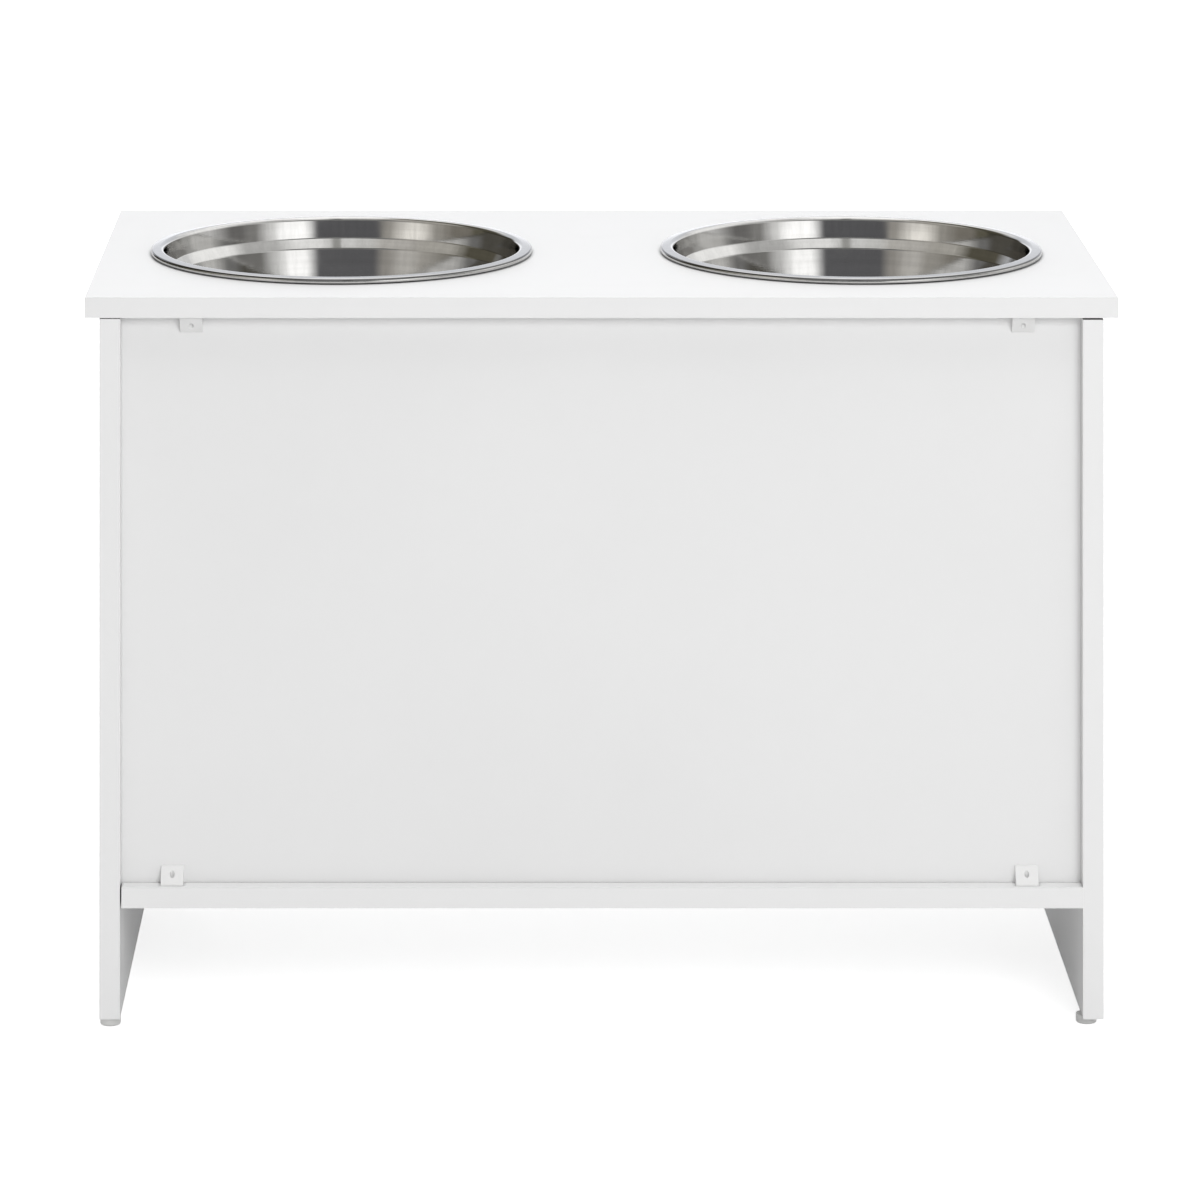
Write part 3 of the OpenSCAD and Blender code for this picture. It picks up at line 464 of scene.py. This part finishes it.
finishes = {
    "white_hardboard": makeFaceMaterial("whiteFilm", (0.8, 0.8, 0.8), 0.4, 900.0, 0.1),
    "white_plastic": makeFaceMaterial("whiteMoulding", (0.77, 0.77, 0.767), 0.32, 2200.0, 0.08),
    "frosted_plastic": makeFaceMaterial("frostedNylon", (0.68, 0.68, 0.67), 0.35, 1800.0, 0.1),
    "nickel_plate": makeMetalMaterial("nickelPlate", (0.72, 0.7, 0.66), 0.2),
    "brushed_nickel": makeMetalMaterial("brushedNickel", (0.66, 0.64, 0.6), 0.3),
    "zinc_plated_steel": makeMetalMaterial("zincPlate", (0.62, 0.63, 0.64), 0.28),
    "zinc_casting": makeMetalMaterial("castZinc", (0.5, 0.5, 0.5), 0.45),
    "beech": makeFaceMaterial("beechDowel", (0.62, 0.42, 0.24), 0.6, 700.0, 0.4, 0.25),
    "ferrite": makeFaceMaterial("ferriteMagnet", (0.05, 0.05, 0.052), 0.6, 1500.0, 0.3),
}


def setMaterial(item, material):
    item.data.materials.clear()
    item.data.materials.append(material)


slotOf = {part["node"]: part["material_slot"] for part in frame["record"]["subparts"]}
for nodeName, item in nodes.items():
    if nodeName in boardNodes:
        setMaterial(item, makeBoardMaterial(nodeName, boardFinish))
    elif slotOf[nodeName] in finishes:
        setMaterial(item, finishes[slotOf[nodeName]])
print("materials assigned")


# ---- softened arrises ----

softEdges = {  # width of the rounded arris, in metres
    "white_board": 0.0007,
    "white_hardboard": 0.0003,
    "white_plastic": 0.0004,
}


def softenEdges(item, width):
    bevel = item.modifiers.new("softArris", "BEVEL")
    bevel.width = width
    bevel.segments = 3
    bevel.limit_method = "ANGLE"
    bevel.angle_limit = math.radians(40)
    bevel.harden_normals = False
    bevel.use_clamp_overlap = True


for nodeName, item in nodes.items():
    width = softEdges.get(slotOf[nodeName])
    if width:
        softenEdges(item, width)


# ---- bowls ----

bowlShape = {  # metres, matching the solid
    "rimRadius": 0.116,
    "beadRadius": 0.0017,
    "rimWidth": 0.0083,
    "rimFall": 6,
    "sheet": 0.0007,
    "depth": 0.070,
    "shoulderDrop": 0.012,
    "shoulderIn": 0.0036,
    "shoulderSlope": 30,
    "upperDraft": 7,
    "lowerDraft": 10,
    "lipRadius": 0.0023,
    "bendRadius": 0.003,
    "floorRadius": 0.018,
    "steps": 256,
}


def arcPoints(middle, radius, start, end, steps):
    points = []
    for step in range(steps + 1):
        turn = math.radians(start + (end - start) * step / steps)
        points.append((middle[0] + radius * math.cos(turn), middle[1] + radius * math.sin(turn)))
    return points


def bowlProfile(shape, offset):
    sheet = shape["sheet"]
    bead = shape["beadRadius"]
    bend = shape["bendRadius"]
    slope = math.radians(shape["shoulderSlope"])
    upper = math.radians(shape["upperDraft"])
    lower = math.radians(shape["lowerDraft"])
    lipRadius = shape["lipRadius"]
    wallRadius = shape["rimRadius"] - shape["rimWidth"] + sheet / 2
    fall = math.radians(shape["rimFall"])
    curlRadius = bead - sheet / 2
    curl = (shape["rimRadius"] - bead, bead)
    lipX = wallRadius + lipRadius
    lipZ = bead + (curlRadius - lipRadius + (curl[0] - lipX) * math.sin(fall)) / math.cos(fall)
    lip = (lipX, lipZ)
    lipEnd = (lip[0] - lipRadius * math.cos(upper), lip[1] + lipRadius * math.sin(upper))
    turnZ = 2 * bead - shape["shoulderDrop"]
    turnRadius = lipEnd[0] - (lipEnd[1] - turnZ) * math.tan(upper)
    turn = (turnRadius - bend * math.cos(upper), turnZ + bend * math.sin(upper))
    bendsIn = bend * (math.cos(upper) + math.cos(lower) - 2 * math.cos(slope))
    run = max(0.0, (shape["shoulderIn"] - bendsIn) / math.sin(slope))
    turnEnd = (turn[0] + bend * math.cos(slope), turn[1] - bend * math.sin(slope))
    slopeEnd = (turnEnd[0] - run * math.sin(slope), turnEnd[1] - run * math.cos(slope))
    back = (slopeEnd[0] + bend * math.cos(slope), slopeEnd[1] - bend * math.sin(slope))
    wallTop = (back[0] - bend * math.cos(lower), back[1] + bend * math.sin(lower))
    floorZ = 2 * bead - shape["depth"] + sheet / 2
    cornerZ = floorZ + shape["floorRadius"]
    cornerEndZ = cornerZ - shape["floorRadius"] * math.sin(lower)
    wallFoot = wallTop[0] - (wallTop[1] - cornerEndZ) * math.tan(lower)
    corner = (wallFoot - shape["floorRadius"] * math.cos(lower), cornerZ)
    slopeTurn, upperTurn, lowerTurn = shape["shoulderSlope"], shape["upperDraft"], shape["lowerDraft"]
    points = arcPoints(curl, curlRadius + offset, -140, 90 - shape["rimFall"], 28)
    points += arcPoints(lip, lipRadius + offset, 90 - shape["rimFall"], 180 - upperTurn, 12)
    points += arcPoints(turn, bend - offset, -upperTurn, -slopeTurn, 8)
    points += arcPoints(back, bend + offset, 180 - slopeTurn, 180 - lowerTurn, 8)
    points += arcPoints(corner, shape["floorRadius"] - offset, -lowerTurn, -90, 20)
    points.append((corner[0] * 0.6, floorZ + offset))
    points.append((corner[0] * 0.25, floorZ + offset))
    return points


def makeBowl(side, shape):
    node = side + "_bowl"
    middle = middleOf(node)
    mesh = bmesh.new()
    inside = bowlProfile(shape, shape["sheet"] / 2)
    outside = bowlProfile(shape, -shape["sheet"] / 2)
    loop = inside + outside[::-1]
    rings = []
    for step in range(shape["steps"]):
        turn = 2 * math.pi * step / shape["steps"]
        across, along = math.cos(turn), math.sin(turn)
        rings.append([mesh.verts.new((middle.x + r * across, middle.y + r * along, topFaceZ + z))
                      for r, z in loop])
    innerEnd = len(inside) - 1
    for step in range(shape["steps"]):
        here, there = rings[step], rings[(step + 1) % shape["steps"]]
        for i in range(len(loop)):
            j = (i + 1) % len(loop)
            if i == innerEnd:  # the floor's middle is closed by the discs below
                continue
            mesh.faces.new((here[i], here[j], there[j], there[i]))
    for index in (innerEnd, innerEnd + 1):
        mesh.faces.new([ring[index] for ring in rings])
    bmesh.ops.recalc_face_normals(mesh, faces=mesh.faces)
    data = bpy.data.meshes.new(side + "SteelBowl")
    mesh.to_mesh(data)
    mesh.free()
    for face in data.polygons:
        face.use_smooth = True
    bowl = bpy.data.objects.new(side + "SteelBowl", data)
    scene.collection.objects.link(bowl)
    setMaterial(bowl, makeSteelMaterial(node, shape, steelFinish))
    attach(bowl, node)
    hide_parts(node)


for side in sides:
    makeBowl(side, bowlShape)
print("bowls made")


# ---- studio ----

studio = {
    "floorSize": 60.0,
    "floorColour": (0.8, 0.8, 0.8, 1.0),
    "floorGlow": 0.66,  # added for the camera, so that the floor reads white
    "floorGloss": 0.15,  # and for reflections
    "air": 0.44,  # the room's own light
    "lampAim": (0.0, 0.0, 0.3),
    "lamps": {  # azimuth off the rear's normal towards -X, elevation, distance, size, power
        "keyLamp": (16.0, 22.0, 3.2, (1.3, 1.1), 38.5),
        "topLamp": (0.0, 83.0, 2.4, (1.8, 1.8), 28.0),
        "fillLamp": (190.0, 14.0, 3.4, (2.4, 1.4), 28.0),
        "leftSideLamp": (100.0, 8.0, 3.4, (1.6, 1.2), 13.0),
        "rightSideLamp": (260.0, 8.0, 3.4, (1.6, 1.2), 13.0),
    },
}

mirroredRoom = {  # what stands round the object in reflections, and nowhere else
    "radius": 5.0,
    "centre": 0.4,
    "segments": (96, 24),
    "blend": 2.5,
    "overhead": (1.8, 1.8, 1.8, 1.0),
    # For each band the elevation of its top, then its parts: azimuths off the rear's normal
    # towards -X, and the brightness between them
    "bands": {
        "horizon": (7.5, {
            "backClothEnd": (-180, -156, (1.2, 1.22, 1.26)),
            "blackCorner": (-148, -110, (0.06, 0.055, 0.04)),
            "oliveCorner": (-104, -98, (0.15, 0.14, 0.1)),
            "warmWall": (-92, -80, (0.27, 0.25, 0.215)),
            "wallGlow": (-68, -65, (0.46, 0.44, 0.4)),
            "sideLamp": (-53, -45, (1.4, 1.36, 1.28)),
            "doorway": (-32, -29, (0.48, 0.46, 0.42)),
            "cameraFlag": (-25, 16, (0.13, 0.13, 0.138)),
            "softbox": (23, 42, (1.75, 1.75, 1.75)),
            "softboxRim": (49, 51, (1.0, 1.0, 0.99)),
            "greyWall": (60, 64, (0.33, 0.325, 0.315)),
            "darkWall": (72, 80, (0.21, 0.205, 0.2)),
            "paleWall": (100, 130, (0.8, 0.8, 0.79)),
            "backCloth": (156, 180, (1.2, 1.22, 1.26)),
        }),
        "low": (15.0, {
            "backClothLowEnd": (-180, -156, (0.86, 0.88, 0.93)),
            "blackCornerLow": (-146, -108, (0.05, 0.045, 0.03)),
            "oliveCornerLow": (-103, -96, (0.19, 0.18, 0.14)),
            "warmWallLow": (-88, -76, (0.3, 0.28, 0.24)),
            "wallGlowLow": (-66, -58, (0.47, 0.45, 0.41)),
            "sideLampLow": (-50, -42, (0.7, 0.68, 0.64)),
            "doorwayLow": (-33, -30, (0.43, 0.41, 0.38)),
            "cameraFlagLow": (-23, 16, (0.145, 0.145, 0.153)),
            "softboxLow": (25, 37, (1.65, 1.65, 1.65)),
            "softboxRimLow": (47, 49, (0.85, 0.85, 0.84)),
            "greyWallLow": (59, 78, (0.25, 0.245, 0.235)),
            "paleWallLow": (96, 138, (1.1, 1.1, 1.09)),
            "backClothLow": (156, 180, (0.86, 0.88, 0.93)),
        }),
        "lowMiddle": (25.0, {
            "clothEnd": (-180, -146, (0.84, 0.86, 0.91)),
            "blackCornerAbove": (-128, -106, (0.12, 0.11, 0.08)),
            "warmWallAbove": (-100, -86, (0.21, 0.2, 0.17)),
            "wallGlowAbove": (-72, -66, (0.45, 0.43, 0.39)),
            "sideLampAbove": (-56, -48, (0.62, 0.6, 0.56)),
            "dimRoom": (-40, 20, (0.4, 0.4, 0.39)),
            "softboxAbove": (40, 54, (1.0, 1.0, 0.99)),
            "greyWallAbove": (66, 84, (0.62, 0.62, 0.61)),
            "sideSoftbox": (106, 128, (1.35, 1.35, 1.34)),
            "clothFold": (136, 144, (0.95, 0.95, 0.96)),
            "cloth": (152, 180, (0.84, 0.86, 0.91)),
        }),
        "middle": (42.0, {
            "clothTopEnd": (-180, -150, (1.15, 1.15, 1.16)),
            "blackCornerMiddle": (-134, -104, (0.12, 0.11, 0.08)),
            "warmWallMiddle": (-90, -66, (0.6, 0.58, 0.53)),
            "warmWallMiddleEnd": (-58, -46, (0.5, 0.48, 0.44)),
            "darkRoom": (-34, 36, (0.16, 0.16, 0.16)),
            "greyWallMiddle": (50, 80, (0.66, 0.66, 0.65)),
            "sideSoftboxMiddle": (96, 130, (1.42, 1.42, 1.41)),
            "clothTop": (150, 180, (1.15, 1.15, 1.16)),
        }),
        "high": (72.0, {
            "frontSoftboxEnd": (-180, -150, (1.7, 1.7, 1.7)),
            "darkCornerTop": (-140, -108, (0.15, 0.14, 0.11)),
            "warmWallTop": (-88, -78, (0.52, 0.5, 0.45)),
            "warmGlow": (-60, -36, (0.7, 0.68, 0.64)),
            "ceilingEdge": (-26, -18, (0.86, 0.86, 0.84)),
            "ceilingLamp": (-12, -1, (0.96, 0.96, 0.95)),
            "boomArm": (0, 6, (0.45, 0.45, 0.43)),
            "ceilingGlow": (8, 13, (0.98, 0.98, 0.97)),
            "ceilingSoftbox": (17, 40, (1.22, 1.22, 1.21)),
            "ceilingCorner": (56, 72, (0.72, 0.72, 0.71)),
            "sideSoftboxTop": (98, 128, (1.2, 1.2, 1.19)),
            "frontSoftbox": (150, 180, (1.7, 1.7, 1.7)),
        }),
    },
    "seenTwice": {  # the steel's own walls, which what is mirrored a second time meets
        "rimFarEnd": (-180, -154, (0.8, 0.81, 0.84)),
        "blackCornerTwice": (-144, -104, (0.13, 0.12, 0.1)),
        "warmWallTwice": (-76, -38, (0.19, 0.18, 0.155)),
        "flagTwice": (-22, -12, (0.42, 0.42, 0.42)),
        "softboxTwice": (14, 50, (1.35, 1.35, 1.34)),
        "greyWallTwice": (62, 75, (0.9, 0.9, 0.89)),
        "paleWallTwice": (88, 112, (0.5, 0.49, 0.48)),
        "rimFar": (154, 180, (0.8, 0.81, 0.84)),
    },
}


def addStageMesh(name, corners, material):
    mesh = bmesh.new()
    mesh.faces.new([mesh.verts.new(corner) for corner in corners])
    data = bpy.data.meshes.new(name)
    mesh.to_mesh(data)
    mesh.free()
    item = bpy.data.objects.new(name, data)
    scene.collection.objects.link(item)
    setMaterial(item, material)
    return item


def makeFloor(values):
    half = values["floorSize"] / 2
    material, tree, shader = newMaterial("paleFloor", Roughness=0.9)
    shader.inputs["Base Color"].default_value = values["floorColour"]
    shader.inputs["Emission Color"].default_value = white
    path = addNode(tree, "ShaderNodeLightPath").outputs
    mirrored = math2(tree, "MAXIMUM", path["Is Glossy Ray"], path["Is Transmission Ray"])
    glow = math2(tree, "MULTIPLY", mirrored, values["floorGloss"])
    glow = math2(tree, "MULTIPLY_ADD", path["Is Camera Ray"], values["floorGlow"], glow)
    tree.links.new(glow, shader.inputs["Emission Strength"])
    corners = [(x * half, y * half, 0.0) for x, y in ((-1, -1), (1, -1), (1, 1), (-1, 1))]
    addStageMesh("studioFloor", corners, material)


def makeWorld(values):
    world = bpy.data.worlds.new("studioAir")
    scene.world = world
    world.use_nodes = True
    tree = world.node_tree
    tree.nodes.clear()
    path = addNode(tree, "ShaderNodeLightPath").outputs
    seen = math2(tree, "MAXIMUM", path["Is Camera Ray"],
                 math2(tree, "MAXIMUM", path["Is Glossy Ray"], path["Is Transmission Ray"]))
    strength = remap(tree, seen, 0.0, 1.0, values["air"], 1.0)
    shader = addNode(tree, "ShaderNodeBackground", {"Color": white, "Strength": strength})
    out = addNode(tree, "ShaderNodeOutputWorld")
    tree.links.new(shader.outputs[0], out.inputs[0])


def studioPlace(azimuth, elevation, distance):
    turn, rise = math.radians(azimuth), math.radians(elevation)
    return Vector((
        -math.sin(turn) * math.cos(rise),
        math.cos(turn) * math.cos(rise),
        math.sin(rise),
    )) * distance


def makeLamps(values):
    aim = Vector(values["lampAim"])
    for name, (azimuth, elevation, distance, size, power) in values["lamps"].items():
        data = bpy.data.lights.new(name, "AREA")
        data.shape = "RECTANGLE"
        data.size, data.size_y = size
        data.energy = power
        lamp = bpy.data.objects.new(name, data)
        offset = studioPlace(azimuth, elevation, distance)
        lamp.location = aim + offset
        lamp.rotation_euler = (-offset).to_track_quat("-Z", "Y").to_euler()
        lamp.visible_glossy = False  # the mirrored room has its own softbox
        scene.collection.objects.link(lamp)


# One band of the room: a ramp round the azimuth, even within each part and sloping between them
def roomBand(tree, azimuth, parts):
    ramp = addNode(tree, "ShaderNodeValToRGB", {0: remap(tree, azimuth, -math.pi, math.pi, 0.0, 1.0)})
    stops = ramp.color_ramp.elements
    while len(stops) > 1:
        stops.remove(stops[-1])
    ends = []
    for start, end, tone in parts.values():
        ends += [(start, tone), (end, tone)]
    for count, (angle, tone) in enumerate(sorted(ends)):
        stop = stops[0] if count == 0 else stops.new(1.0)
        stop.position = (angle + 180) / 360
        stop.color = tone + (1.0,)
    return ramp.outputs[0]


# A dome round the object holds the room that the steel mirrors. It lights nothing else.
def makeMirroredRoom(values):
    material, tree, shader = newMaterial("roomPaint", Roughness=1.0)
    shader.inputs["Base Color"].default_value = (0.0, 0.0, 0.0, 1.0)
    place = addNode(tree, "ShaderNodeTexCoord").outputs["Object"]
    parts = addNode(tree, "ShaderNodeSeparateXYZ", {0: place}).outputs
    azimuth = math2(tree, "ARCTAN2", math2(tree, "MULTIPLY", parts[0], -1.0), parts[1])
    rise = math2(tree, "ARCSINE", math2(tree, "DIVIDE", parts[2], values["radius"]))
    rise = math2(tree, "DEGREES", rise)
    tops = [top for top, band in values["bands"].values()]
    tones = [roomBand(tree, azimuth, band) for top, band in values["bands"].values()]
    tone = tones[0]
    for top, above in zip(tops, tones[1:] + [values["overhead"]]):
        passed = remap(tree, rise, top - values["blend"], top + values["blend"], 0.0, 1.0, smooth=True)
        tone = mixColours(tree, passed, tone, above)
    depth = addNode(tree, "ShaderNodeLightPath").outputs["Glossy Depth"]
    again = math2(tree, "GREATER_THAN", depth, 1.5)
    tone = mixColours(tree, again, tone, roomBand(tree, azimuth, values["seenTwice"]))
    tree.links.new(tone, shader.inputs["Emission Color"])
    shader.inputs["Emission Strength"].default_value = 1.0
    mesh = bmesh.new()
    around, upwards = values["segments"]
    bmesh.ops.create_uvsphere(mesh, u_segments=around, v_segments=2 * upwards, radius=values["radius"])
    below = [vert for vert in mesh.verts if vert.co.z < -values["centre"]]
    bmesh.ops.delete(mesh, geom=below, context="VERTS")
    data = bpy.data.meshes.new("mirroredRoom")
    mesh.to_mesh(data)
    mesh.free()
    room = bpy.data.objects.new("mirroredRoom", data)
    room.location.z = values["centre"]
    scene.collection.objects.link(room)
    setMaterial(room, material)
    room.visible_camera = False
    room.visible_diffuse = False
    room.visible_shadow = False


makeFloor(studio)
makeWorld(studio)
makeLamps(studio)
makeMirroredRoom(mirroredRoom)
scene.view_settings.view_transform = "Standard"
print("studio lit")

bpy.context.view_layer.update()
